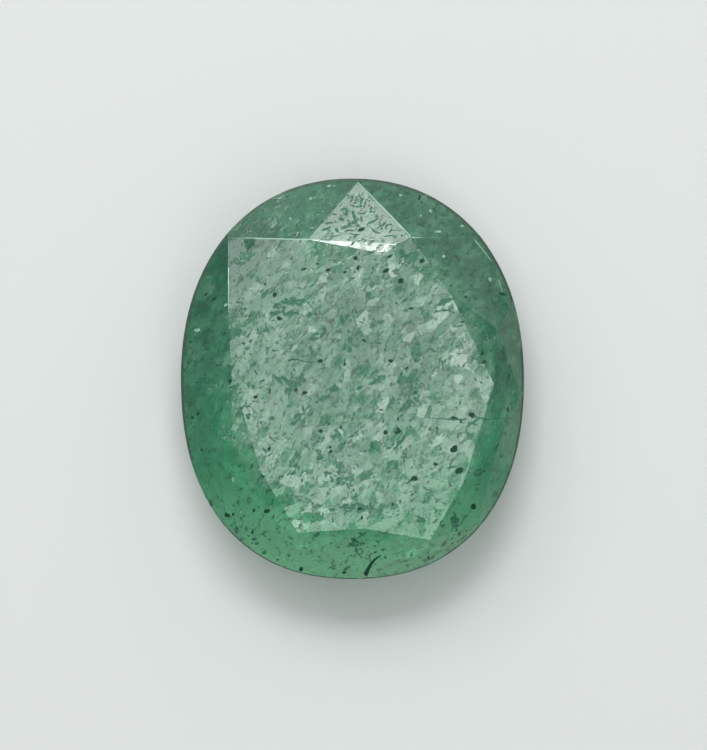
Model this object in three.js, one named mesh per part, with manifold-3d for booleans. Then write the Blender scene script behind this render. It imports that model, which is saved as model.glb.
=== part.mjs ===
// An oval gemstone, cut from one piece of translucent green jade. It lies on its flat back with the table up.
// Millimetres, +Z up, the long axis along Y. The origin is the middle of the flat back.
import * as THREE from "three";
import { mergeVertices } from "three/addons/utils/BufferGeometryUtils.js";
import Module from "manifold-3d";

// Driving dimensions.
const LENGTH = 14;
const WIDTH = 12;
const PAVILION_DEPTH = 2.8;
const GIRDLE_THICKNESS = 0.5;
const CROWN_HEIGHT = 0.95;
const STAR_HEIGHT = 0.16;

// The girdle is thinner by this much half-way between the tips of two kites.
const GIRDLE_WAVE = 0.2;

// The outline is a superellipse: a power of 2 would be a plain ellipse, and this one is a little fuller, most
// of all in its southern half.
const NORTH_POWER = 2.18;
const SOUTH_POWER = 2.3;
const OUTLINE_SEGMENTS = 128;

// Levels, from the flat back up.
const GIRDLE_BOTTOM = PAVILION_DEPTH;
const GIRDLE_TOP = GIRDLE_BOTTOM + GIRDLE_THICKNESS;
const TABLE_LEVEL = GIRDLE_TOP + CROWN_HEIGHT;
const CORNER_LEVEL = TABLE_LEVEL - STAR_HEIGHT;

// The eight kite facets of the crown, from the east round to the south-east. Each starts from a tip on the
// girdle, at a turn of the outline in degrees, and ends at the table, at a share of the way along its inner side.
// The stone was cut by hand, so no two are alike.
const KITES = [
  { name: "east", turn: -3, share: 0.5 },
  { name: "north-east", turn: 44, share: 0.5 },
  { name: "north", turn: 88.6, share: 0.31 },
  { name: "north-west", turn: 136, share: 0.52 },
  { name: "west", turn: 179, share: 0.5 },
  { name: "south-west", turn: 225, share: 0.48 },
  { name: "south", turn: 272, share: 0.5 },
  { name: "south-east", turn: 315, share: 0.52 },
];
const TIP_INSET = 0.12;

// Where each kite meets the next one, as x and y. The first corner lies between the east and north-east kites.
const CORNERS = [
  [5.05, 1.7],
  [2.06, 4.91],
  [-1.54, 4.84],
  [-4.3, 2.3],
  [-4.7, -1.9],
  [-1.9, -5.35],
  [2.7, -5.6],
  [5.1, -2.2],
];

// A thin extra facet lies between the north kite and the star on its left. The share of its width that is taken
// from the kite sets how steep it is.
const SLIVER_KITE = 2;
const SLIVER_WIDTH = 0.34;
const SLIVER_SHARE = 0.75;

// Two rows of facets under the girdle, sloping from level.
const PAVILION_MAINS = { count: 8, slope: 50, inset: 1.96, turn: 0 };
const PAVILION_HALVES = { count: 16, slope: 63, inset: 0.02, turn: 11.25 };

const STONE_COLOUR = 0x6a9c80;
const STONE_ROUGHNESS = 0.12;

const radians = THREE.MathUtils.degToRad;
const outlinePower = (angle) => (Math.sin(angle) > 0 ? NORTH_POWER : SOUTH_POWER);

const wasm = await Module();
wasm.setup();

function toSolid(geometry) {
  const bare = geometry.clone();
  bare.deleteAttribute("normal");
  bare.deleteAttribute("uv");
  const merged = mergeVertices(bare, 1e-5);
  return new wasm.Manifold(
    new wasm.Mesh({
      numProp: 3,
      vertProperties: merged.attributes.position.array,
      triVerts: new Uint32Array(merged.index.array),
    }),
  );
}

function toGeometry(solid) {
  const mesh = solid.getMesh();
  const geometry = new THREE.BufferGeometry();
  geometry.setAttribute("position", new THREE.BufferAttribute(mesh.vertProperties, 3));
  geometry.setIndex(new THREE.BufferAttribute(mesh.triVerts, 1));
  const flat = geometry.toNonIndexed();
  flat.computeVertexNormals();
  return flat;
}

// A point of the outline. Its turn is the angle of the plain ellipse that the superellipse is drawn from.
function outlinePoint(turn, inset = 0) {
  const angle = radians(turn);
  const along = (half, part) => (half - inset) * Math.sign(part) * Math.abs(part) ** (2 / outlinePower(angle));
  return new THREE.Vector2(along(WIDTH / 2, Math.cos(angle)), along(LENGTH / 2, Math.sin(angle)));
}

// How far an upright plane that faces along angle stands from the stone's axis when it touches the outline.
function outlineReach(angle) {
  const power = outlinePower(angle) / (outlinePower(angle) - 1);
  const across = (Math.abs(Math.cos(angle)) * WIDTH) / 2;
  const along = (Math.abs(Math.sin(angle)) * LENGTH) / 2;
  return (across ** power + along ** power) ** (1 / power);
}

// The blank is an upright prism with the outline of the stone and its full depth.
function makeBlank() {
  const turns = Array.from({ length: OUTLINE_SEGMENTS }, (_, i) => (i * 360) / OUTLINE_SEGMENTS);
  const shape = new THREE.Shape(turns.map((turn) => outlinePoint(turn)));
  return toSolid(new THREE.ExtrudeGeometry(shape, { depth: TABLE_LEVEL, bevelEnabled: false }));
}

// Grinds one flat facet: takes away all that lies outside the plane through a point, facing along normal.
function grind(solid, point, normal) {
  const side = 4 * LENGTH;
  const waste = new THREE.BoxGeometry(side, side, side).translate(0, 0, side / 2);
  const turn = new THREE.Quaternion().setFromUnitVectors(new THREE.Vector3(0, 0, 1), normal);
  waste.applyQuaternion(turn);
  waste.translate(point.x, point.y, point.z);
  return solid.subtract(toSolid(waste));
}

// A facet of the crown, given by three of its corners.
function crownFacet(a, b, c) {
  const plane = new THREE.Plane().setFromCoplanarPoints(a, b, c);
  const normal = plane.normal.z > 0 ? plane.normal : plane.normal.negate();
  return { point: a, normal };
}

const at = (flat, level) => new THREE.Vector3(flat.x, flat.y, level);
const after = (list, i) => list[(i + 1) % list.length];
const before = (list, i) => list[(i + list.length - 1) % list.length];

const corners = CORNERS.map(([x, y]) => new THREE.Vector3(x, y, CORNER_LEVEL));
const tips = KITES.map(({ turn }) => at(outlinePoint(turn, TIP_INSET), GIRDLE_TOP));

// Where a kite reaches the table: straight on from its tip, past a point of the line between its two corners.
function tableCorner(i) {
  const middle = before(corners, i).clone().lerp(corners[i], KITES[i].share);
  const stretch = CROWN_HEIGHT / (CORNER_LEVEL - GIRDLE_TOP);
  return tips[i].clone().lerp(middle, stretch);
}

const tableCorners = KITES.map((_, i) => tableCorner(i));

function kiteFacets() {
  return tips.map((tip, i) => crownFacet(tip, before(corners, i), corners[i]));
}

function starFacets() {
  return corners.map((corner, i) => crownFacet(corner, tableCorners[i], after(tableCorners, i)));
}

// Two facets meet below each corner, with the girdle as their outer edge.
function upperGirdleFacets() {
  return corners.flatMap((corner, i) => {
    const turnAfter = i + 1 < KITES.length ? KITES[i + 1].turn : KITES[0].turn + 360;
    const middle = at(outlinePoint((KITES[i].turn + turnAfter) / 2), GIRDLE_TOP - GIRDLE_WAVE);
    return [crownFacet(tips[i], corner, middle), crownFacet(middle, corner, after(tips, i))];
  });
}

// The sliver starts at the kite's left corner and is widest at the table.
function sliverFacet() {
  const corner = corners[SLIVER_KITE];
  const inner = tableCorners[SLIVER_KITE];
  const outward = tips[SLIVER_KITE].clone().sub(inner).normalize();
  const low = inner.clone().addScaledVector(outward, SLIVER_WIDTH * SLIVER_SHARE);
  const high = at(inner.clone().addScaledVector(outward, SLIVER_WIDTH * (SLIVER_SHARE - 1)), TABLE_LEVEL);
  return crownFacet(corner, low, high);
}

// A row of facets under the girdle. Each plane stands inset from the outline at the given level.
function pavilionRow({ count, slope, inset, turn }, level) {
  return Array.from({ length: count }, (_, i) => {
    const azimuth = radians(turn + (i * 360) / count);
    const reach = outlineReach(azimuth) - inset;
    const lean = radians(slope);
    return {
      point: new THREE.Vector3(reach * Math.cos(azimuth), reach * Math.sin(azimuth), level),
      normal: new THREE.Vector3(
        Math.sin(lean) * Math.cos(azimuth),
        Math.sin(lean) * Math.sin(azimuth),
        -Math.cos(lean),
      ),
    };
  });
}

function makeStone() {
  const facets = [
    ...upperGirdleFacets(),
    ...kiteFacets(),
    ...starFacets(),
    sliverFacet(),
    ...pavilionRow(PAVILION_HALVES, GIRDLE_BOTTOM),
    ...pavilionRow(PAVILION_MAINS, 0),
  ];
  const cut = facets.reduce((solid, { point, normal }) => grind(solid, point, normal), makeBlank());
  const stone = new THREE.Mesh(
    toGeometry(cut),
    new THREE.MeshStandardMaterial({ color: STONE_COLOUR, roughness: STONE_ROUGHNESS, metalness: 0 }),
  );
  stone.name = "stone";
  return stone;
}

const jade = new THREE.Group();
jade.add(makeStone());

export default jade;
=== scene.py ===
"""The looks of an oval faceted jade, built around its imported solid. Metres, +Z up, north is +Y."""

import math

import bmesh
import bpy
import numpy as np
from mathutils import Euler, Matrix, Vector


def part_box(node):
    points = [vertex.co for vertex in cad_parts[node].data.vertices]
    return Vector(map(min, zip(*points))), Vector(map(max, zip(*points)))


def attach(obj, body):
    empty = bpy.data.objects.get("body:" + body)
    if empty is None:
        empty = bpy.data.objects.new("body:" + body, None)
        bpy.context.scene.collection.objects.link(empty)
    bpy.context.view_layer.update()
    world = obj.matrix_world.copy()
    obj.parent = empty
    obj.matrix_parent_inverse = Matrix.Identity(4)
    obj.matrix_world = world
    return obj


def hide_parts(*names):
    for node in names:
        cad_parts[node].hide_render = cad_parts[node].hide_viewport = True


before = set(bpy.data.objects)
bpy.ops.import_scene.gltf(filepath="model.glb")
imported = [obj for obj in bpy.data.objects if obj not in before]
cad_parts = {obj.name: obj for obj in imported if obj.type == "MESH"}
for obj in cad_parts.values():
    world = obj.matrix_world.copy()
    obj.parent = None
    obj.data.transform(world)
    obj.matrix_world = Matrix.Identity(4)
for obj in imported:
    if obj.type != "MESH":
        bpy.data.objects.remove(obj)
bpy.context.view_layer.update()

MM = 0.001
SEED = 7
chance = np.random.default_rng(SEED)
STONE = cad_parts["stone"]
STONE_LOW, STONE_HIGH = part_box("stone")
TABLE = STONE_HIGH.z

# The flakes in the stone lie along a grain, which runs from the south-west to the north-east, and the pattern
# is stretched along it.
GRAIN_TURN = math.radians(50)
GRAIN_STRETCH = 1.5

# The photograph's frame in pixels, the stone's middle in it, the pixels that its width spans, and how much of
# the stone a pixel is.
PHOTO_WIDTH, PHOTO_HEIGHT = 707, 750
STONE_PIXEL = (352.5, 378.8)
STONE_PIXELS_WIDE = 345.9
PIXEL = (STONE_HIGH.x - STONE_LOW.x) / STONE_PIXELS_WIDE


def from_pixel(x, y):
    """Where a pixel of the photograph lies on the stone, seen from straight above."""
    return (x - STONE_PIXEL[0]) * PIXEL, (STONE_PIXEL[1] - y) * PIXEL


# Nodes


def material(name, **values):
    """A Principled material with plain values on the shader's own sockets."""
    made = bpy.data.materials.new(name)
    made.use_nodes = True
    shader = made.node_tree.nodes["Principled BSDF"]
    for socket, value in values.items():
        shader.inputs[socket.replace("_", " ")].default_value = value
    return made


def add_node(made, kind, **values):
    """A node of a material, with plain values on its sockets."""
    node = made.node_tree.nodes.new(kind)
    for socket, value in values.items():
        node.inputs[socket.replace("_", " ")].default_value = value
    return node


def join(made, source, target):
    """Links a node's output to a socket."""
    made.node_tree.links.new(source, target)


def feed(made, socket, value):
    """Gives a socket a plain number or colour, or the output of another node."""
    if isinstance(value, (int, float)):
        socket.default_value = value
    elif isinstance(value, tuple):
        socket.default_value = value if len(value) == len(socket.default_value) else (*value, 1)
    else:
        join(made, value, socket)


def coordinates(made, turn=0.0, stretch=1.0):
    """Millimetres in the stone's frame, turned, and stretched along the turned first axis."""
    place = add_node(made, "ShaderNodeTexCoord")
    turned = add_node(made, "ShaderNodeMapping", Rotation=(0, 0, turn), Scale=(MM * stretch, MM, MM))
    turned.vector_type = "TEXTURE"
    join(made, place.outputs["Object"], turned.inputs["Vector"])
    return turned.outputs["Vector"]


def noise(made, vector, scale, detail=3.0, roughness=0.55, distortion=0.0):
    """Soft random waves over some coordinates."""
    node = add_node(
        made, "ShaderNodeTexNoise", Scale=scale, Detail=detail, Roughness=roughness, Distortion=distortion
    )
    join(made, vector, node.inputs["Vector"])
    return node


def maths(made, kind, first, second):
    """A sum, difference or product of two numbers, each plain or an output."""
    node = made.node_tree.nodes.new("ShaderNodeMath")
    node.operation = kind
    feed(made, node.inputs[0], first)
    feed(made, node.inputs[1], second)
    return node.outputs["Value"]


def vector_maths(made, kind, first, second=(0.0, 0.0, 0.0), scale=1.0):
    """The same for vectors, with a plain scale where the kind is SCALE."""
    node = made.node_tree.nodes.new("ShaderNodeVectorMath")
    node.operation = kind
    feed(made, node.inputs[0], first)
    feed(made, node.inputs[1], second)
    if kind == "SCALE":
        node.inputs["Scale"].default_value = scale
    return node


def ramp(made, factor, stops):
    """Colours or greys laid out along a factor, from (place, colour) pairs."""
    node = made.node_tree.nodes.new("ShaderNodeValToRGB")
    band = node.color_ramp
    while len(band.elements) < len(stops):
        band.elements.new(0.5)
    for element, (place, colour) in zip(band.elements, stops):
        element.position = place
        element.color = (*colour, 1) if isinstance(colour, tuple) else (colour, colour, colour, 1)
    join(made, factor, node.inputs["Fac"])
    return node.outputs["Color"]


# The Mix node's two colours and its result, by number, because its other sockets have the same names.
MIX_FIRST, MIX_SECOND, MIX_RESULT = 6, 7, 2


def mix(made, factor, first, second):
    """A colour between two, each a plain colour or an output."""
    node = made.node_tree.nodes.new("ShaderNodeMix")
    node.data_type = "RGBA"
    feed(made, node.inputs["Factor"], factor)
    feed(made, node.inputs[MIX_FIRST], first)
    feed(made, node.inputs[MIX_SECOND], second)
    return node.outputs[MIX_RESULT]


def bump(made, heights):
    """A chain of bump nodes, one for each (height, distance) pair."""
    normal = None
    for height, distance in heights:
        node = add_node(made, "ShaderNodeBump", Strength=1.0, Distance=distance)
        join(made, height, node.inputs["Height"])
        if normal:
            join(made, normal, node.inputs["Normal"])
        normal = node.outputs["Normal"]
    return normal


def absorb(made, per_mm):
    """Plain absorption: how much of each colour a millimetre of the stone takes away."""
    most = max(per_mm)
    node = add_node(made, "ShaderNodeVolumeAbsorption", Density=most / MM)
    node.inputs["Color"].default_value = (*(1 - part / most for part in per_mm), 1)
    join(made, node.outputs["Volume"], made.node_tree.nodes["Material Output"].inputs["Volume"])


# Materials

ABSORPTION_PER_MM = (0.10, 0.03, 0.06)
REFRACTION = 1.6
TRANSMISSION = 0.75

# The scales of the pattern: about how many of each lie along a millimetre.
CLOUD_SCALE = 1.3
PLATE_SCALE = 3.6
GAP_SCALE = 5.0
FINE_SCALE = 7.0

# How far the edges of the mica plates wander, in plate widths.
PLATE_WOBBLE = 1.4

# How much each part of the pattern counts in the tone, and the greens from the darkest tone to the lightest.
CLOUD_SHARE, PLATE_SHARE, FINE_SHARE = 0.60, 0.20, 0.20
DEEP_GREEN = (0.025, 0.22, 0.12)
MID_GREEN = (0.085, 0.37, 0.215)
PALE_GREEN = (0.30, 0.57, 0.405)
TONES = [(0.32, DEEP_GREEN), (0.48, MID_GREEN), (0.66, PALE_GREEN)]

# Dark seams follow the edges of the plates, by the distance from the edge, and are broken where the gaps are.
SEAM_GREEN = (0.015, 0.12, 0.07)
SEAM_EDGES = [(0.03, 1.0), (0.10, 0.0)]
SEAM_GAPS = [(0.54, 0.0), (0.62, 1.0)]

# Towards the south the green is painted richer and then lighter: painted light, for the light that comes
# through the stone at that end. This starts at the first of these distances from the middle, in millimetres,
# and is full at the second.
RICH_GREEN = (0.07, 0.62, 0.30)
PAINTED_LIGHT_SOUTH_GREEN = (0.38, 0.95, 0.56)
PAINTED_LIGHT_SOUTH_TONES = [(0.50, RICH_GREEN), (0.90, PAINTED_LIGHT_SOUTH_GREEN)]
SOUTH_REACH = (-1.5, 6.5)
SOUTH_SCALE = 0.8

# A band round the table is painted pale: painted light for the reflection on the table and the light through
# it, with the middle and the ring outside the band a little darker, painted shade. Its outer edge has these
# radii and this middle, in millimetres. The tones and the share of the south's painted light go by the share
# of the radii.
BAND_RADII = (4.9, 5.5)
BAND_MIDDLE = (0.15, -0.15)
BAND_SCALE = 1.1
BAND_UNEVENNESS = 0.5
PAINTED_LIGHT_BAND_TONES = [(0.0, 0.46), (0.45, 0.47), (0.72, 0.58), (0.90, 0.57), (1.0, 0.42)]
OUTSIDE_BAND = [(0.80, 0.30), (1.0, 1.0)]

# The level of the band's tones that changes nothing.
BAND_ZERO = 0.5

# Large soft patches of painted light and shade over the table and the north-west kite: x, y, radius in
# millimetres and how much paler each is. They fade from the first share of the radius to the second.
PAINTED_PATCH_FADE = [(0.3, 1.0), (1.0, 0.0)]
PAINTED_LIGHT_AND_SHADE_PATCHES = [
    (2.7, -2.6, 3.0, 0.11),
    (2.4, 3.2, 2.6, -0.09),
    (-3.9, 4.4, 1.8, -0.12),
]


# What a random colour is on average, taken away from it to turn it into a shift either way.
AVERAGE = (0.5, 0.5, 0.5)


def mica(made, vector, scale, wobble):
    """Overlapping plates of mica with uneven edges: a random colour for each, and how far its edge is."""
    finer = 1.5 * scale
    shift = noise(made, vector, finer, detail=4).outputs["Color"]
    centred = vector_maths(made, "SUBTRACT", shift, AVERAGE).outputs["Vector"]
    scaled = vector_maths(made, "SCALE", centred, scale=wobble / scale).outputs["Vector"]
    moved = vector_maths(made, "ADD", vector, scaled).outputs["Vector"]
    plates = add_node(made, "ShaderNodeTexVoronoi", Scale=scale)
    edges = add_node(made, "ShaderNodeTexVoronoi", Scale=scale)
    edges.feature = "DISTANCE_TO_EDGE"
    join(made, moved, plates.inputs["Vector"])
    join(made, moved, edges.inputs["Vector"])
    return plates.outputs["Color"], edges.outputs["Distance"]


def oval_distance(made, flat, middle, radii):
    """How far out a point is, seen from above: 0 in the middle of an upright oval and 1 on its outline."""
    away = vector_maths(made, "SUBTRACT", flat, (*middle, 0.0)).outputs["Vector"]
    shrink = (1 / radii[0], 1 / radii[1], 0.0)
    level = vector_maths(made, "MULTIPLY", away, shrink).outputs["Vector"]
    return vector_maths(made, "LENGTH", level).outputs["Value"]


def band_radius(made):
    """How far out a point is: 0 in the middle and 1 at the band's outer edge, which is uneven."""
    flat = coordinates(made)
    radius = oval_distance(made, flat, BAND_MIDDLE, BAND_RADII)
    waves = noise(made, flat, BAND_SCALE, detail=4).outputs["Fac"]
    uneven = maths(made, "MULTIPLY", waves, BAND_UNEVENNESS)
    return maths(made, "ADD", radius, maths(made, "SUBTRACT", uneven, BAND_UNEVENNESS / 2))


def painted_light_band_lift(made):
    """Painted light and shade: how much paler the colour is made, most in the band, and less than nothing in
    the middle and outside.
    """
    return maths(made, "SUBTRACT", ramp(made, band_radius(made), PAINTED_LIGHT_BAND_TONES), BAND_ZERO)


def painted_patch_lift(made):
    """How much paler or darker the colour is made for the large soft patches of painted light and shade."""
    flat = coordinates(made)
    total = 0.0
    for x, y, radius, lift in PAINTED_LIGHT_AND_SHADE_PATCHES:
        away = oval_distance(made, flat, (x, y), (radius, radius))
        share = ramp(made, away, PAINTED_PATCH_FADE)
        total = maths(made, "ADD", maths(made, "MULTIPLY", share, lift), total)
    return total


def painted_light_south_share(made):
    """How much of the south's painted light a point gets: 0 in the north, rising to 1 at the southern end,
    and less inside the band.
    """
    flat = coordinates(made)
    waves = noise(made, flat, SOUTH_SCALE, detail=3).outputs["Color"]
    wavy = vector_maths(made, "ADD", flat, waves).outputs["Vector"]
    parts = made.node_tree.nodes.new("ShaderNodeSeparateXYZ")
    join(made, wavy, parts.inputs["Vector"])
    node = made.node_tree.nodes.new("ShaderNodeMapRange")
    feed(made, node.inputs["Value"], maths(made, "MULTIPLY", parts.outputs["Y"], -1.0))
    feed(made, node.inputs["From Min"], SOUTH_REACH[0])
    feed(made, node.inputs["From Max"], SOUTH_REACH[1])
    outside = ramp(made, band_radius(made), OUTSIDE_BAND)
    return maths(made, "MULTIPLY", node.outputs["Result"], outside)


def weighted(made, parts):
    """The sum of some factors, each times its own weight."""
    total = 0.0
    for factor, weight in parts:
        total = maths(made, "ADD", maths(made, "MULTIPLY", factor, weight), total)
    return total


# The polish: its roughness, what the fine grain and the seams add to it, and the depths of its relief.
POLISH_ROUGHNESS = 0.02
FINE_ROUGHNESS = 0.12
SEAM_ROUGHNESS = 0.06
FINE_RELIEF = 0.002 * MM
CLOUD_RELIEF = 0.003 * MM
SEAM_RELIEF = 0.004 * MM

# How far a plate of mica tilts the polished surface over it.
PLATE_TILT = 0.065


def body_colour(made, tone, seams):
    """The stone's green from its tone, with painted light and shade added: the pale band round the table, the
    soft patches and the lighter south. Then it is darkened in the seams.
    """
    tone = maths(made, "ADD", tone, painted_light_band_lift(made))
    tone = maths(made, "ADD", tone, painted_patch_lift(made))
    body = ramp(made, tone, TONES)
    south = painted_light_south_share(made)
    body = mix(made, south, body, ramp(made, south, PAINTED_LIGHT_SOUTH_TONES))
    return mix(made, seams, body, SEAM_GREEN)


def tilted_normal(made, relief, plate):
    """The relief's normal, tilted at random over each plate."""
    tilt = vector_maths(made, "SUBTRACT", plate, AVERAGE).outputs["Vector"]
    tilt = vector_maths(made, "SCALE", tilt, scale=PLATE_TILT).outputs["Vector"]
    tilted = vector_maths(made, "ADD", relief, tilt).outputs["Vector"]
    return vector_maths(made, "NORMALIZE", tilted).outputs["Vector"]


def jade_material():
    """See-through green stone with plates of mica, dark seams and an uneven polish, and with light and shade
    painted into its green.
    """
    made = material("jade", IOR=REFRACTION, Transmission_Weight=TRANSMISSION)
    absorb(made, ABSORPTION_PER_MM)
    shader = made.node_tree.nodes["Principled BSDF"]
    grain = coordinates(made, GRAIN_TURN, GRAIN_STRETCH)
    clouds = noise(made, grain, CLOUD_SCALE, detail=5, roughness=0.65, distortion=0.6).outputs["Fac"]
    fine = noise(made, grain, FINE_SCALE, detail=2, distortion=0.5).outputs["Fac"]
    plate, plate_edge = mica(made, grain, PLATE_SCALE, PLATE_WOBBLE)
    gaps = noise(made, grain, GAP_SCALE, detail=2).outputs["Fac"]
    seams = maths(made, "MULTIPLY", ramp(made, plate_edge, SEAM_EDGES), ramp(made, gaps, SEAM_GAPS))
    tone = weighted(made, [(clouds, CLOUD_SHARE), (plate, PLATE_SHARE), (fine, FINE_SHARE)])
    join(made, body_colour(made, tone, seams), shader.inputs["Base Color"])
    gloss = weighted(made, [(fine, FINE_ROUGHNESS), (seams, SEAM_ROUGHNESS)])
    join(made, maths(made, "ADD", gloss, POLISH_ROUGHNESS), shader.inputs["Roughness"])
    pits = maths(made, "SUBTRACT", 1.0, seams)
    relief = bump(made, [(fine, FINE_RELIEF), (clouds, CLOUD_RELIEF), (pits, SEAM_RELIEF)])
    join(made, tilted_normal(made, relief, plate), shader.inputs["Normal"])
    return made


# Where the dust of a dusted material changes from dark to light.
DUST_DARK, DUST_LIGHT = 0.35, 0.65


def dusted_material(name, *, colours, roughness, scale, **values):
    """A material with uneven colour and gloss: two colours and two roughnesses, mixed by fine noise."""
    made = material(name, **values)
    shader = made.node_tree.nodes["Principled BSDF"]
    dust = noise(made, coordinates(made), scale, detail=4).outputs["Fac"]
    for socket, (low, high) in {"Base Color": colours, "Roughness": roughness}.items():
        join(made, ramp(made, dust, [(DUST_DARK, low), (DUST_LIGHT, high)]), shader.inputs[socket])
    return made


def edge_material():
    """The edges between facets, dull from wear, and coloured pale as a painted highlight."""
    return dusted_material(
        "painted_highlight_edge",
        colours=((0.18, 0.32, 0.26), (0.28, 0.44, 0.37)),
        roughness=(0.12, 0.24),
        scale=3.0,
    )


def girdle_painted_shade_material():
    """The girdle, ground but never polished, and coloured near black: painted shade for the dark line along
    the outline.
    """
    return dusted_material(
        "matt_girdle_painted_shade",
        colours=((0.010, 0.032, 0.020), (0.034, 0.072, 0.048)),
        roughness=(0.45, 0.65),
        scale=9.0,
    )


def speck_material():
    """The near-black grains and the hair."""
    return dusted_material(
        "dark_inclusion",
        colours=((0.002, 0.020, 0.010), (0.008, 0.050, 0.028)),
        roughness=(0.4, 0.6),
        scale=20.0,
        Specular_IOR_Level=0.12,
    )


def flake_material():
    """The dark green flakes, strokes and needles."""
    return dusted_material(
        "green_flake",
        colours=((0.010, 0.07, 0.038), (0.030, 0.14, 0.082)),
        roughness=(0.3, 0.5),
        scale=12.0,
        Specular_IOR_Level=0.25,
    )


def pale_material():
    """The pale glints."""
    return dusted_material(
        "pale_flake",
        colours=((0.10, 0.20, 0.155), (0.22, 0.35, 0.29)),
        roughness=(0.3, 0.5),
        scale=12.0,
        Specular_IOR_Level=0.3,
    )


# The body

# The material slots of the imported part.
JADE, DARK, PALE = "jade", "dark_inclusion", "pale_inclusion"


def add_mesh(name, mesh):
    """A mesh of the object, which rides with the stone."""
    piece = bpy.data.objects.new(name, mesh)
    bpy.context.scene.collection.objects.link(piece)
    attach(piece, "root")
    return piece


# Corners of the solid closer than this are one, and faces within this angle lie in one facet.
SAME_CORNER = 0.0005 * MM
FLAT_ANGLE = math.radians(0.4)

# Edges of this angle and more are the ones between two facets.
FACET_ANGLE = math.radians(3.2)

# The most that wear takes off an edge. Blender narrows it to fit the shortest edge, down to a hair, so the
# pale painted highlights along edges that show from a step away are in the strands, and the dark painted
# shade along the outline is in the rim, further down.
EDGE_WIDTH = 0.075 * MM
GIRDLE_EDGE_WIDTH = 0.15 * MM

# A face is upright if its normal rises less than this.
UPRIGHT = 0.05

# The edges within this depth under the table are still crisp.
STAR_HEIGHT = 0.16 * MM

# The order of the body's materials. The edges' pale colour is a painted highlight, and the girdle's
# near-black is painted shade.
POLISHED, PAINTED_HIGHLIGHT_EDGE, MATT = range(3)


def girdle_levels():
    """The lowest and highest points of the upright faces."""
    mesh = STONE.data
    upright = [face for face in mesh.polygons if abs(face.normal.z) < UPRIGHT]
    levels = [mesh.vertices[v].co.z for face in upright for v in face.vertices]
    return min(levels), max(levels)


def face_finish(face, girdle):
    """Which of the body's materials a face has."""
    levels = [v.co.z for v in face.verts]
    if min(levels) > girdle[0] - EDGE_WIDTH and max(levels) < girdle[1] + EDGE_WIDTH:
        return MATT
    if min(levels) > TABLE - STAR_HEIGHT - EDGE_WIDTH:
        return POLISHED
    return face.material_index


def facet_edges(shape, of_girdle):
    """The edges between two facets, either the girdle's own or all the others."""
    edges = [edge for edge in shape.edges if edge.calc_face_angle(0) > FACET_ANGLE]
    return [edge for edge in edges if at_girdle(edge) == of_girdle]


def at_girdle(edge):
    """Whether just one of the two faces of an edge is upright."""
    return len([face for face in edge.link_faces if abs(face.normal.z) < UPRIGHT]) == 1


def round_with_painted_highlight(shape, edges, width):
    """Takes the sharpness off some edges and gives the new faces the pale edge material, whose colour is a
    painted highlight.
    """
    bmesh.ops.bevel(
        shape,
        geom=edges,
        offset=width,
        offset_type="WIDTH",
        segments=2,
        profile=0.5,
        affect="EDGES",
        clamp_overlap=True,
        material=PAINTED_HIGHLIGHT_EDGE,
    )


def make_body(materials):
    """The solid again, with its facets whole and the edges between them no longer sharp."""
    shape = bmesh.new()
    shape.from_mesh(STONE.data)
    for face in shape.faces:
        face.material_index = POLISHED
    bmesh.ops.remove_doubles(shape, verts=shape.verts, dist=SAME_CORNER)
    bmesh.ops.dissolve_limit(shape, angle_limit=FLAT_ANGLE, verts=shape.verts, edges=shape.edges)
    round_with_painted_highlight(shape, facet_edges(shape, of_girdle=False), EDGE_WIDTH)
    round_with_painted_highlight(shape, facet_edges(shape, of_girdle=True), GIRDLE_EDGE_WIDTH)
    girdle = girdle_levels()
    for face in shape.faces:
        face.material_index = face_finish(face, girdle)
        face.smooth = face.material_index == MATT and abs(face.normal.z) < UPRIGHT
    mesh = bpy.data.meshes.new("jade_body")
    shape.to_mesh(mesh)
    shape.free()
    for made in materials:
        mesh.materials.append(made)
    piece = add_mesh("jade_body", mesh)
    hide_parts("stone")


# Where things lie in and on the stone


# A triangle smaller than this is too thin to trust its normal.
SMALLEST_AREA = 0.001 * MM * MM


def stone_planes():
    """The planes of the stone's facets: their outward normals and their distances from the origin."""
    normals = np.array([face.normal for face in STONE.data.polygons])
    centres = np.array([face.center for face in STONE.data.polygons])
    whole = [face.area > SMALLEST_AREA for face in STONE.data.polygons]
    return normals[whole], (normals * centres).sum(axis=1)[whole]


NORMALS, REACHES = stone_planes()
CROWN = NORMALS[:, 2] > UPRIGHT


def depth(points):
    """How far inside the stone each point lies, negative outside."""
    return (REACHES - points @ NORMALS.T).min(axis=1)


def onto_crown(flat):
    """The points of the crown above some (x, y) pairs, and its outward normals there."""
    flat = np.asarray(flat)
    levels = (REACHES[CROWN] - flat @ NORMALS[CROWN, :2].T) / NORMALS[CROWN, 2]
    facets = levels.argmin(axis=1)
    level = levels.min(axis=1)
    return np.column_stack([flat, level]), NORMALS[CROWN][facets]


# The grains inside start at this depth, and are clear of the surface by this share of their lengths. Their
# turns from the stone's grain have this spread in radians.
INNER_DEPTH = 0.15 * MM
INNER_CLEARANCE = 0.6
INNER_SPREAD = 0.7


def inner_points(count):
    """Random points inside the stone."""
    found = np.empty((0, 3))
    while len(found) < count:
        tries = chance.uniform(STONE_LOW, STONE_HIGH, (count, 3))
        found = np.vstack([found, tries[depth(tries) > INNER_DEPTH]])
    return found[:count]


def surface_points(count):
    """Random points spread evenly over the whole surface, with their outward normals."""
    mesh = STONE.data
    corners = np.array([[mesh.vertices[v].co for v in face.vertices] for face in mesh.polygons])
    normals = np.array([face.normal for face in mesh.polygons])
    areas = np.array([face.area for face in mesh.polygons])
    picked = chance.choice(len(areas), count, p=areas / areas.sum())
    shares = chance.dirichlet((1, 1, 1), count)
    return np.einsum("ni,nij->nj", shares, corners[picked]), normals[picked]


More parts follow.
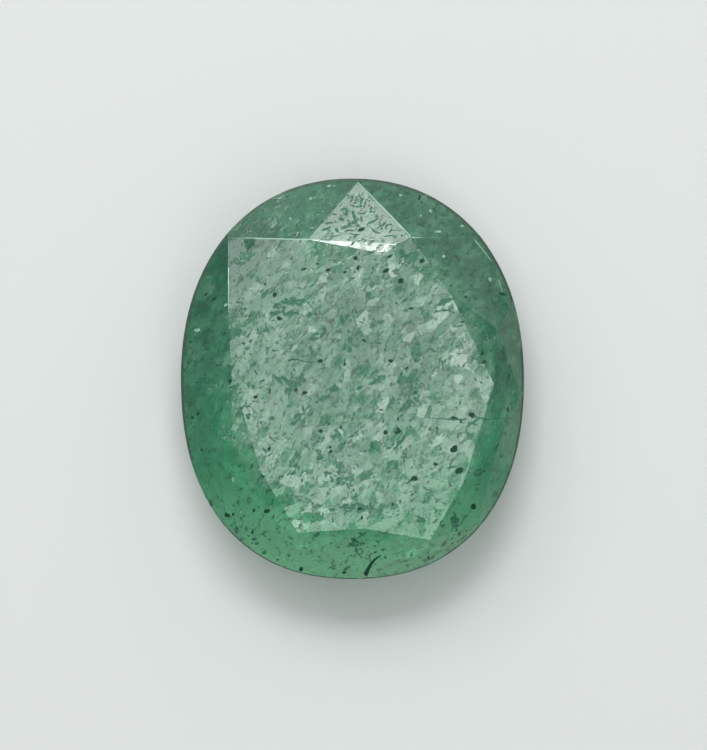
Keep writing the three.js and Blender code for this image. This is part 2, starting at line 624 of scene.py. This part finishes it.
def inner_turns(count):
    """Rotation matrices whose first axis keeps near the stone's grain."""
    flat = GRAIN_TURN + chance.normal(0, INNER_SPREAD, count)
    tilt = chance.normal(0, INNER_SPREAD / 2, count)
    roll = chance.uniform(0, 2 * math.pi, count)
    return np.array([Euler(angles, "XYZ").to_matrix() for angles in zip(roll, tilt, flat)])


def surface_turns(normals, angles):
    """Rotation matrices that lay a form flat on the surface, its first axis along an angle from the east."""
    along = np.stack([np.cos(angles), np.sin(angles), np.zeros(len(normals))], axis=1)
    along -= normals * (along * normals).sum(axis=1, keepdims=True)
    along /= np.linalg.norm(along, axis=1, keepdims=True)
    return np.stack([along, np.cross(normals, along), normals], axis=2)


# The pieces in the stone


def form_of(shape):
    """The corners and the faces of a form, which is then freed."""
    corners = np.array([v.co for v in shape.verts])
    faces = [[v.index for v in f.verts] for f in shape.faces]
    shape.free()
    return corners, faces


def unit_blob():
    """A round grain, 1 across."""
    shape = bmesh.new()
    bmesh.ops.create_icosphere(shape, subdivisions=2, radius=0.5)
    return form_of(shape)


def unit_chip():
    """A nine-sided chip, 1 across and 1 thick, a little narrower at the top."""
    shape = bmesh.new()
    bmesh.ops.create_cone(shape, cap_ends=True, segments=9, radius1=0.5, radius2=0.45, depth=1)
    return form_of(shape)


BLOB = unit_blob()
CHIP = unit_chip()

# How thick a chip at the surface is, and how far the polish leaves it standing proud, least and most.
CHIP_DEPTH = 0.05 * MM
CHIP_RISE = (0.002 * MM, 0.010 * MM)

# How uneven the outlines are, as shares of their widths.
CHIP_UNEVENNESS = 0.22
INNER_UNEVENNESS = 0.18

# A distance too small to see.
HAIR = 0.001 * MM

# How much the lengths in one scatter differ, as the spread of their logarithms.
LENGTH_SPREAD = 0.4


def repeat(name, form, places, sizes, turns, unevenness, made):
    """Copies of a form joined in one mesh, each with its own place, size, turn and uneven outline."""
    corners, faces = form
    count = len(places)
    jitter = 1 + chance.uniform(-unevenness, unevenness, (count, len(corners), 3))
    jitter[:, :, 1] = jitter[:, :, 0]
    jitter[:, :, 2] = 1
    points = corners * jitter * sizes[:, None, :]
    points = np.einsum("nij,nkj->nki", turns, points) + places[:, None, :]
    copies = [[v + i * len(corners) for v in face] for i in range(count) for face in faces]
    mesh = bpy.data.meshes.new(name)
    mesh.from_pydata(points.reshape(-1, 3).tolist(), [], copies)
    mesh.materials.append(made)
    add_mesh(name, mesh)


def lengths(count, middle):
    """Random lengths around a middle one, given in millimetres."""
    return chance.lognormal(math.log(middle * MM), LENGTH_SPREAD, count)


def on_one_facet(places, sizes, turns):
    """Which of the flat forms lie clear of the edges between facets."""
    clear = np.ones(len(places), bool)
    for axis in (0, 1):
        reach = turns[:, :, axis] * sizes[:, axis, None] / 2
        clear &= (depth(places + reach) > -HAIR) & (depth(places - reach) > -HAIR)
    return clear


# All of the scattered chips show within this share of the radii of the band of painted light, and a share of
# them further out.
CROWDED_SHARE = 0.9
OUTER_SHARE = 0.35


def seen(places):
    """Which of the scattered chips are kept: all those inside the band, and a share of the others."""
    away = (places[:, :2] / MM - BAND_MIDDLE) / BAND_RADII
    inside = np.linalg.norm(away, axis=1) < CROWDED_SHARE
    return inside | (chance.uniform(size=len(places)) < OUTER_SHARE)


def lay_chips(name, places, normals, sizes, turns, made):
    """Flat chips let into the surface."""
    rise = chance.uniform(*CHIP_RISE, (len(places), 1))
    sunk = places - normals * (CHIP_DEPTH / 2 - rise)
    repeat(name, CHIP, sunk, sizes, turns, CHIP_UNEVENNESS, made)


def scatter_chips(name, made, *, count, length, slimness, spread):
    """Chips all over the surface. Slimness is the range of their widths, as shares of their lengths."""
    places, normals = surface_points(count)
    long = lengths(count, length)
    wide = long * chance.uniform(*slimness, count)
    sizes = np.stack([long, wide, np.full(count, CHIP_DEPTH)], axis=1)
    turns = surface_turns(normals, GRAIN_TURN + chance.normal(0, spread, count))
    kept = on_one_facet(places, sizes, turns) & seen(places)
    lay_chips(name, places[kept], normals[kept], sizes[kept], turns[kept], made)


def place_chips(name, made, marks):
    """Chips where the photograph shows them, from rows of x, y, length, width and turn."""
    x, y, long, wide, turn = np.array(marks, float).T
    places, normals = onto_crown(np.column_stack(from_pixel(x, y)))
    sizes = np.stack([long * PIXEL, wide * PIXEL, np.full(len(marks), CHIP_DEPTH)], axis=1)
    turns = surface_turns(normals, np.radians(turn))
    lay_chips(name, places, normals, sizes, turns, made)


def scatter_inside(name, form, made, slot, *, count, length, slimness, thickness):
    """Grains or flakes all through the stone. Slimness and thickness are shares of their lengths."""
    long = lengths(count, length)
    wide = long * chance.uniform(*slimness, count)
    sizes = np.stack([long, wide, long * thickness], axis=1)
    places = inner_points(count)
    turns = inner_turns(count)
    kept = depth(places) > long * INNER_CLEARANCE
    repeat(name, form, places[kept], sizes[kept], turns[kept], INNER_UNEVENNESS, made)


# The dark grains that stand out: x and y in the photograph, length and width in pixels, and the turn in
# degrees from the east towards the north.
DARK_GRAINS = [
    (274.5, 294.6, 6, 4, 60),
    (265, 284, 4, 2, 40),
    (304, 269, 6, 2.5, 20),
    (328, 270, 6, 3, 20),
    (345, 272, 4, 3, 0),
    (355.6, 258, 5.5, 5, 20),
    (390, 256, 6, 3, 40),
    (386, 270.5, 9, 4, 35),
    (422, 261, 6.5, 4, 30),
    (401, 281, 6.5, 6, 0),
    (411, 308.5, 6, 2.5, 0),
    (466, 297, 4, 3, -50),
    (463, 322, 4, 3, 0),
    (320, 360.7, 5.5, 4, 0),
    (344.7, 364, 3.5, 3.5, 0),
    (390.5, 360.7, 5.5, 4, -20),
    (407, 368, 4, 3, 30),
    (230, 381.6, 5, 3.5, 80),
    (255.7, 397, 5, 3.5, 10),
    (270, 391, 6, 2, 85),
    (381.6, 410, 5, 2, -20),
    (454, 418.6, 7.5, 4, 10),
    (472, 415, 8, 5, -20),
    (385.6, 432.5, 5.5, 4.5, 0),
    (397.5, 431, 8, 6, 25),
    (320.5, 431, 5.5, 4, 0),
    (269, 449, 5.5, 3.5, 70),
    (330.7, 451.8, 6, 3, 35),
    (414.3, 478.6, 8.5, 6, 5),
    (459.3, 470.6, 10, 6.5, 15),
    (202, 450.7, 7, 3.5, -10),
    (197, 414, 4.5, 3, 30),
    (191.4, 418, 4, 3, 0),
    (205, 294, 5, 3, 40),
    (213, 298.6, 6, 2.5, 20),
    (225.7, 516, 6, 5, -30),
    (266.4, 511.5, 8, 4.5, 25),
    (427.7, 529, 8, 4, 30),
    (474, 507, 8, 6, -45),
    (455, 521, 9, 5, -60),
    (354, 540, 6, 5, -40),
    (344, 574, 5, 3.5, 30),
    (361, 229.5, 8.5, 4, 20),
    (503, 293.5, 10, 2.5, 5),
    (482, 353, 6, 3, 60),
    (484, 362, 6, 3, 30),
    (510, 376, 5, 2, 70),
    (360, 509, 6, 4, 20),
]

# Green patches, each a cluster of small flakes: x, y, length, width and turn, in the same way.
GREEN_PATCHES = [
    (288, 303, 34, 9, 12),
    (284, 313, 40, 4, 4),
    (284, 381, 28, 7, -15),
    (378, 380, 20, 5, 32),
    (294.6, 470, 14, 8, 50),
    (422, 518, 14, 9, 40),
    (456, 525, 20, 9, -65),
    (354.8, 544, 15, 10, -60),
    (352, 508, 46, 8, 5),
    (472.7, 423, 14, 4, 35),
    (454, 482, 10, 4, 30),
    (203.5, 380, 22, 6, 5),
    (482, 357, 14, 8, 70),
    (318, 335, 22, 7, 40),
    (330, 392, 30, 7, 45),
    (395, 445, 24, 6, 40),
    (300, 415, 26, 6, 50),
    (446, 300, 20, 6, 35),
    (412, 400, 30, 7, 45),
    (352, 340, 26, 6, 50),
    # This last patch, on the north-west kite's corner, is a teal patch of the stone and also painted shade
    # that darkens the kite's reflection there.
    (244, 256, 22, 14, 20),
]

# Small pale glints, in the same way as the dark grains.
PALE_GLINTS = [
    (490.7, 279, 6, 5, 0),
    (196, 330, 9, 4, 0),
    (233, 480, 6, 3.5, 80),
    (431, 210, 3.5, 3.5, 0),
    (401, 194, 4, 3.5, 0),
    (463, 225, 5, 3.5, 20),
    (444, 256, 4, 4, 0),
    (438, 231, 8, 3, 15),
    (329, 184.5, 4.5, 2.5, 10),
    (290, 218, 3.5, 3, 0),
    (225.5, 305, 5, 4, 0),
    (338, 460, 3, 2.5, 0),
    (262, 204, 4, 2, 30),
    (421, 215, 4, 2, 60),
]

# The small flakes of a patch: the square pixels for each, their lengths in pixels, their widths as shares of
# their lengths, and the spread of their turns in degrees.
PATCH_FLAKE_PIXELS = 9
PATCH_FLAKE_LENGTHS = (3.0, 6.0)
PATCH_FLAKE_WIDTHS = (0.4, 0.8)
PATCH_FLAKE_SPREAD = 25


def patch_flake(x, y, long, wide, turn):
    """One small flake, somewhere in a patch."""
    away = math.sqrt(chance.uniform())
    around = chance.uniform(0, 2 * math.pi)
    along = Vector((away * math.cos(around) * long / 2, away * math.sin(around) * wide / 2))
    spot = Matrix.Rotation(math.radians(turn), 2) @ along
    length = chance.uniform(*PATCH_FLAKE_LENGTHS)
    width = length * chance.uniform(*PATCH_FLAKE_WIDTHS)
    return x + spot.x, y - spot.y, length, width, turn + chance.normal(0, PATCH_FLAKE_SPREAD)


def make_patches(made):
    """Each patch is a scatter of small flakes over its oval."""
    marks = []
    for x, y, long, wide, turn in GREEN_PATCHES:
        for _ in range(round(long * wide / PATCH_FLAKE_PIXELS)):
            marks.append(patch_flake(x, y, long, wide, turn))
    place_chips("green_patches", made, marks)


# A dark hair and some green needles: points of each along its length, as x, y and width in the photograph's
# pixels.
HAIRS = {
    "curved hair": [(381, 556.5, 1.8), (375, 560, 3.2), (370, 567, 4.2), (367, 573, 5.4), (366, 577, 4.6)],
}
NEEDLES = {
    "arched needle": [(434, 312.5, 1.4), (441, 310.5, 2.0), (448, 310.5, 2.0), (455, 313, 1.2)],
    "west wisp": [(288, 361, 2.4), (296, 359, 2.6), (305, 361.5, 1.6), (316, 361, 1.4)],
    "east needle": [(432, 418, 1.0), (445, 419, 1.6), (456, 419.5, 1.8), (466, 419, 1.0)],
    "south-east streak": [(466, 427, 1.4), (473, 422.5, 3.0), (480, 418, 1.6)],
    "long east needle": [(476, 416.5, 1.8), (488, 419, 2.2), (500, 418.5, 1.4), (514, 419, 0.8)],
    "post left": [(438.5, 371, 1.4), (439.5, 359, 1.6)],
    "post right": [(443, 370, 1.8), (442.5, 360, 1.4)],
    "north-east streak": [(493, 297, 1.4), (501, 294.5, 2.6), (508, 293, 1.6)],
    "west streak": [(198, 383, 1.2), (204, 380, 2.6), (212, 378.5, 1.2)],
}

# Dark curls on the bright north kite, made as curled flakes of mica: painted shade for the dark breaks in the
# kite's wrinkled reflection.
PAINTED_SHADE_KITE_CURLS = [
    [(341.5, 210, 2.1), (344, 208, 3.4), (346.5, 210, 3.6), (346, 214, 2.3)],
    [(353, 210, 2.9), (353.5, 214, 4.2), (355, 218.5, 3.4), (355, 223, 2.1)],
    [(339, 217.5, 3.4), (341.5, 218.5, 4.9), (344, 219.5, 3.4)],
    [(325.5, 224.5, 2.1), (328.5, 222.5, 2.9), (333, 222.5, 2.1)],
    [(322.5, 229.5, 2.3), (326, 228.5, 3.4), (330.5, 226.5, 2.1)],
    [(336, 228, 3.1), (337, 230, 4.2), (337.5, 232, 2.9)],
    [(342, 228.5, 2.6), (346, 226.5, 3.9), (351, 225.5, 2.3)],
    [(350, 204, 1.8), (356, 206, 2.6), (362, 205, 1.8)],
    [(361.5, 196.5, 2.3), (361.5, 200.5, 2.9), (360, 204, 1.8)],
    [(351.5, 195, 1.8), (352, 198, 2.6), (350, 201.5, 1.8)],
    [(366, 200.5, 1.6), (365, 204, 2.3), (364, 207.5, 1.6)],
    [(372, 206, 1.8), (371, 209, 2.6), (371, 212, 1.8)],
    [(377, 218.5, 1.8), (372.5, 221.5, 2.9), (367, 224, 2.1)],
    [(361, 216.5, 2.3), (361.5, 219, 3.1), (362, 221.5, 2.1)],
    [(386, 221, 1.6), (383, 225, 2.3), (381, 230, 1.6)],
    [(391.5, 228, 1.6), (390.5, 230.5, 2.3), (389, 232.5, 1.6)],
    [(384.5, 236.5, 1.3), (391, 235.5, 2.1), (397, 236.5, 1.3)],
    [(376, 214, 1.6), (377.5, 216, 2.3), (377.5, 219, 1.6)],
    [(331, 215, 1.6), (334, 213.5, 2.3), (336.5, 214.5, 1.6)],
    [(350.5, 233, 1.6), (355, 234.5, 2.3), (359.5, 234, 1.6)],
    [(372, 228, 1.8), (375, 231.5, 2.8), (379, 233, 1.8)],
    [(379, 222, 1.6), (380.5, 225, 2.6), (377.5, 228, 1.8)],
    [(386, 226, 1.4), (390, 224, 2.2), (392.5, 226, 1.4)],
    [(345, 232, 1.6), (349, 230, 2.4), (353, 231, 1.6)],
    [(366, 211, 1.6), (363, 213, 2.4), (358, 212, 1.6)],
    [(347, 219, 1.6), (349, 222, 2.4), (348, 225, 1.6)],
]

# Pale lines of painted highlight along some edges between facets, where the rounded edges mirror the lamps.
PAINTED_HIGHLIGHT_LINES = {
    "north-west kite, top": [(227.5, 237, 1.2), (250, 237.6, 2.0), (285, 238.7, 1.8), (308, 239.3, 2.2)],
    "north-west kite, left": [(227.4, 238, 1.4), (227.9, 260, 1.6), (228.2, 290, 1.2), (228.5, 312, 0.8)],
    "north kite, right": [(359, 182, 1.0), (385, 209, 1.6), (411, 236.3, 1.4)],
    "north-east kite, top": [(412, 237.2, 1.4), (417, 237.2, 1.0), (423, 237, 0.6)],
    "north-east girdle": [(475, 238.5, 0.8), (482, 247, 1.6), (487, 253, 1.4), (493, 261, 0.8)],
    "east-north-east girdle": [(499.5, 279, 0.8), (502, 286, 1.2), (503.5, 292, 0.7)],
}
STRAND_STEPS = 12
STRAND_SIDES = 6

# The highest power of the curve through a path's points.
STRAND_POWER = 3

# A strand's thickness, and how deep its middle lies under the surface, as shares of its width.
STRAND_THICKNESS = 0.5
STRAND_SUNK = 0.12


def strand_rings(path):
    """Rings of points along a smooth curve through a path on the crown."""
    path = np.array(path)
    knots = np.arange(len(path))
    steps = np.linspace(0, len(path) - 1, STRAND_STEPS)
    power = min(STRAND_POWER, len(path) - 1)
    x, y, wide = (np.polyval(np.polyfit(knots, part, power), steps) for part in path.T)
    middles, normals = onto_crown(np.column_stack(from_pixel(x, y)))
    along = np.gradient(middles, axis=0)
    sides = np.cross(normals, along / np.linalg.norm(along, axis=1, keepdims=True))
    around = (np.arange(STRAND_SIDES) * 2 * math.pi / STRAND_SIDES)[:, None]
    ring = sides[:, None] * np.cos(around) + normals[:, None] * np.sin(around) * STRAND_THICKNESS
    sunk = middles - normals * wide[:, None] * PIXEL * STRAND_SUNK
    return sunk[:, None] + ring * (wide[:, None, None] * PIXEL / 2)


def skin(shape, rings):
    """Faces between each ring of points and the next."""
    for low, high in zip(rings, rings[1:]):
        for i in range(len(low)):
            after = (i + 1) % len(low)
            shape.faces.new((low[i], low[after], high[after], high[i]))


def add_skinned(name, shape, made, smooth=True):
    """Adds a form made of rings. Only its four-sided faces are smooth, so its ends stay flat."""
    bmesh.ops.recalc_face_normals(shape, faces=shape.faces)
    mesh = bpy.data.meshes.new(name)
    shape.to_mesh(mesh)
    shape.free()
    mesh.materials.append(made)
    for face in mesh.polygons:
        face.use_smooth = smooth and len(face.vertices) == 4
    add_mesh(name, mesh)


def make_strands(name, paths, made):
    """Thin strands let into the crown along some paths, each closed at both ends."""
    shape = bmesh.new()
    for path in paths:
        rings = [[shape.verts.new(p) for p in ring] for ring in strand_rings(path)]
        skin(shape, rings)
        shape.faces.new(rings[0][::-1])
        shape.faces.new(rings[-1])
    add_skinned(name, shape, made)


RIM_STEPS = 256

# The rim is a thin line of painted shade along the outline. It is widest in the northern half and narrows
# towards the south. It stands this much above the crown and reaches this much into it.
RIM_WIDEST = 0.09 * MM
RIM_NARROWEST = 0.03 * MM
RIM_RISE = 0.003 * MM
RIM_DEPTH = 0.02 * MM

# A side whose normal has less than this share along a direction doesn't bound the stone there.
SIDEWAYS = 0.05


def outline_radii(across):
    """How far the outline is from the stone's axis along some level directions."""
    sides = np.abs(NORMALS[:, 2]) < UPRIGHT
    facing = across @ NORMALS[sides, :2].T
    radii = REACHES[sides] / np.maximum(facing, SIDEWAYS)
    return np.where(facing > SIDEWAYS, radii, np.inf).min(axis=1)


def make_rim(made):
    """The upper edge of the girdle, ground matt, and coloured near black as painted shade: the thin dark line
    along the outline seen from above.
    """
    around = np.arange(RIM_STEPS) * 2 * math.pi / RIM_STEPS
    across = np.stack([np.cos(around), np.sin(around)], axis=1)
    radii = outline_radii(across)[:, None]
    outer = onto_crown(across * (radii - HAIR))[0]
    share = np.minimum(1, 1 + np.sin(around))
    width = RIM_NARROWEST + (RIM_WIDEST - RIM_NARROWEST) * share
    inner = onto_crown(across * (radii - width[:, None]))[0]
    up = np.array([0, 0, RIM_RISE])
    down = np.array([0, 0, -RIM_DEPTH])
    corners = np.stack([outer + up, inner + up, inner + down, outer + down], axis=1)
    shape = bmesh.new()
    rings = [[shape.verts.new(p) for p in ring] for ring in corners]
    skin(shape, rings + rings[:1])
    add_skinned("girdle_rim_painted_shade", shape, made, smooth=False)


def make_stone():
    """The body, the pale painted highlights along some facet edges and the matt rim, whose near-black is
    painted shade along the outline, all of one stone.
    """
    painted_highlight = edge_material()
    matt = girdle_painted_shade_material()
    make_body([jade_material(), painted_highlight, matt])
    make_strands("painted_highlight_lines", PAINTED_HIGHLIGHT_LINES.values(), painted_highlight)
    make_rim(matt)


def make_marks(dark, green, pale):
    """What the photograph shows one by one."""
    place_chips("dark_grains", dark, DARK_GRAINS)
    place_chips("pale_glints", pale, PALE_GLINTS)
    make_strands("dark_hair", HAIRS.values(), dark)
    make_strands("green_needles", NEEDLES.values(), green)
    # The kite's curls are painted shade, the dark breaks in its reflection.
    make_strands("painted_shade_kite_curls", PAINTED_SHADE_KITE_CURLS, green)
    make_patches(green)


def make_scatter(dark, green, pale):
    """The fine grains and flakes everywhere, with their lengths in millimetres."""
    scatter_chips("surface_specks", dark, count=300, length=0.10, slimness=(0.35, 0.8), spread=0.6)
    scatter_chips("surface_flakes", green, count=1500, length=0.12, slimness=(0.3, 0.7), spread=0.6)
    scatter_chips("surface_strokes", green, count=2600, length=0.13, slimness=(0.16, 0.32), spread=0.9)
    scatter_chips("surface_glints", pale, count=70, length=0.08, slimness=(0.3, 0.9), spread=0.6)
    grains = {"slimness": (0.3, 0.7), "thickness": 0.5}
    flakes = {"slimness": (0.4, 0.9), "thickness": 0.08}
    scatter_inside("inner_specks", BLOB, dark, DARK, count=300, length=0.10, **grains)
    scatter_inside("inner_flakes", CHIP, green, DARK, count=500, length=0.22, **flakes)
    scatter_inside("inner_glints", CHIP, pale, PALE, count=200, length=0.20, **flakes)


def make_inclusions():
    """All that lies in the stone and on its surface."""
    materials = speck_material(), flake_material(), pale_material()
    make_marks(*materials)
    make_scatter(*materials)


# The stage: a pale floor, a bank of tubes overhead and lamps in the north.

FLOOR_RADIUS = 0.45
FLOOR_SIDES = 96
FLOOR_COLOUR = (0.485, 0.507, 0.499, 1)
FLOOR_ROUGHNESS = 0.9
FLOOR_GAP = 0.05 * MM


def make_floor():
    """A round matt floor just under the stone."""
    made = material("pale_floor", Base_Color=FLOOR_COLOUR, Roughness=FLOOR_ROUGHNESS)
    shape = bmesh.new()
    bmesh.ops.create_circle(shape, cap_ends=True, segments=FLOOR_SIDES, radius=FLOOR_RADIUS)
    mesh = bpy.data.meshes.new("floor")
    shape.to_mesh(mesh)
    shape.free()
    mesh.materials.append(made)
    floor = bpy.data.objects.new("floor", mesh)
    floor.location.z = -FLOOR_GAP
    bpy.context.scene.collection.objects.link(floor)


LAMP_DISTANCE = 0.3


def span(degrees):
    """The width that covers an angle at the lamps' distance."""
    return 2 * LAMP_DISTANCE * math.tan(math.radians(degrees) / 2)


def sky_point(azimuth, elevation):
    """A lamp's place as seen from the table, at an azimuth from east towards north, in degrees."""
    turn = math.radians(azimuth)
    rise = math.radians(elevation)
    flat = math.cos(rise) * LAMP_DISTANCE
    return Vector((flat * math.cos(turn), flat * math.sin(turn), math.sin(rise) * LAMP_DISTANCE + TABLE))


def add_lamp(name, place, wide, high, radiance, turn=0.0):
    """A rectangular lamp aimed at the table. Its width and height are angles in degrees."""
    data = bpy.data.lights.new(name, "AREA")
    data.shape = "RECTANGLE"
    data.size = span(wide)
    data.size_y = span(high)
    data.energy = radiance * math.pi * data.size * data.size_y
    piece = bpy.data.objects.new(name, data)
    piece.location = place
    aim = (Vector((0, 0, TABLE)) - place).to_track_quat("-Z", "Y").to_matrix().to_4x4()
    piece.rotation_euler = (aim @ Matrix.Rotation(turn, 4, "Z")).to_euler()
    piece.visible_camera = False
    bpy.context.scene.collection.objects.link(piece)


# The bank of tubes: how many, and in degrees how far apart, how wide and how long they look from the stone.
TUBES = 7
TUBE_PITCH = 8
TUBE_WIDTH = 4.5
TUBE_LENGTH = 54
TUBE_RADIANCE = 3.0

# The lamps in the north, which the facets mirror: azimuth, elevation, width and height in degrees, and the
# radiance.
NORTH_LAMPS = {
    "north_kite": (91, 47, 20, 13, 5.6),
    "north_sliver": (93, 58.5, 26, 13, 15.0),
    "north_west_kite": (134, 47, 15, 12, 3.5),
    "north_west_edge": (118, 40, 12, 8, 8.0),
    "west_edge": (145, 38, 10, 8, 6.0),
    "north_low": (110, 30, 46, 18, 0.8),
    "north_east_low": (55, 31, 46, 24, 0.8),
}


def make_tubes():
    """A row of tubes overhead, which run along the stone's grain."""
    turn = GRAIN_TURN + math.pi / 2
    across = Vector((math.cos(turn), math.sin(turn), 0))
    middle = Vector((0, 0, LAMP_DISTANCE))
    for i in range(TUBES):
        place = middle + across * span(TUBE_PITCH) * (i - (TUBES - 1) / 2)
        add_lamp(f"tube_{i + 1}", place, TUBE_WIDTH, TUBE_LENGTH, TUBE_RADIANCE, turn)


def make_lamps():
    """All the lamps of the stage."""
    make_tubes()
    for name, (azimuth, elevation, wide, high, radiance) in NORTH_LAMPS.items():
        add_lamp(name, sky_point(azimuth, elevation), wide, high, radiance)


WORLD_COLOUR = (0.97, 1.0, 0.99, 1)
WORLD_STRENGTH = 0.41


def make_world():
    """Even light from all round."""
    world = bpy.data.worlds.new("world")
    world.use_nodes = True
    back = world.node_tree.nodes["Background"]
    back.inputs["Color"].default_value = WORLD_COLOUR
    back.inputs["Strength"].default_value = WORLD_STRENGTH
    bpy.context.scene.world = world


CAMERA_DISTANCE = 0.14
CAMERA_NEAR = 0.01
CAMERA_FAR = 2.0
SENSOR = 36.0


def make_camera():
    """Straight above the stone, framing it as the photograph does."""
    data = bpy.data.cameras.new("camera")
    data.sensor_fit = "HORIZONTAL"
    data.sensor_width = SENSOR
    data.lens = SENSOR * CAMERA_DISTANCE / (PHOTO_WIDTH * PIXEL)
    data.clip_start = CAMERA_NEAR
    data.clip_end = CAMERA_FAR
    camera = bpy.data.objects.new("camera", data)
    camera.location = (*from_pixel(PHOTO_WIDTH / 2, PHOTO_HEIGHT / 2), CAMERA_DISTANCE + TABLE)
    bpy.context.scene.collection.objects.link(camera)
    bpy.context.scene.camera = camera


make_world()
make_floor()
make_lamps()
make_camera()
make_stone()
make_inclusions()
bpy.context.scene.view_settings.view_transform = "Standard"
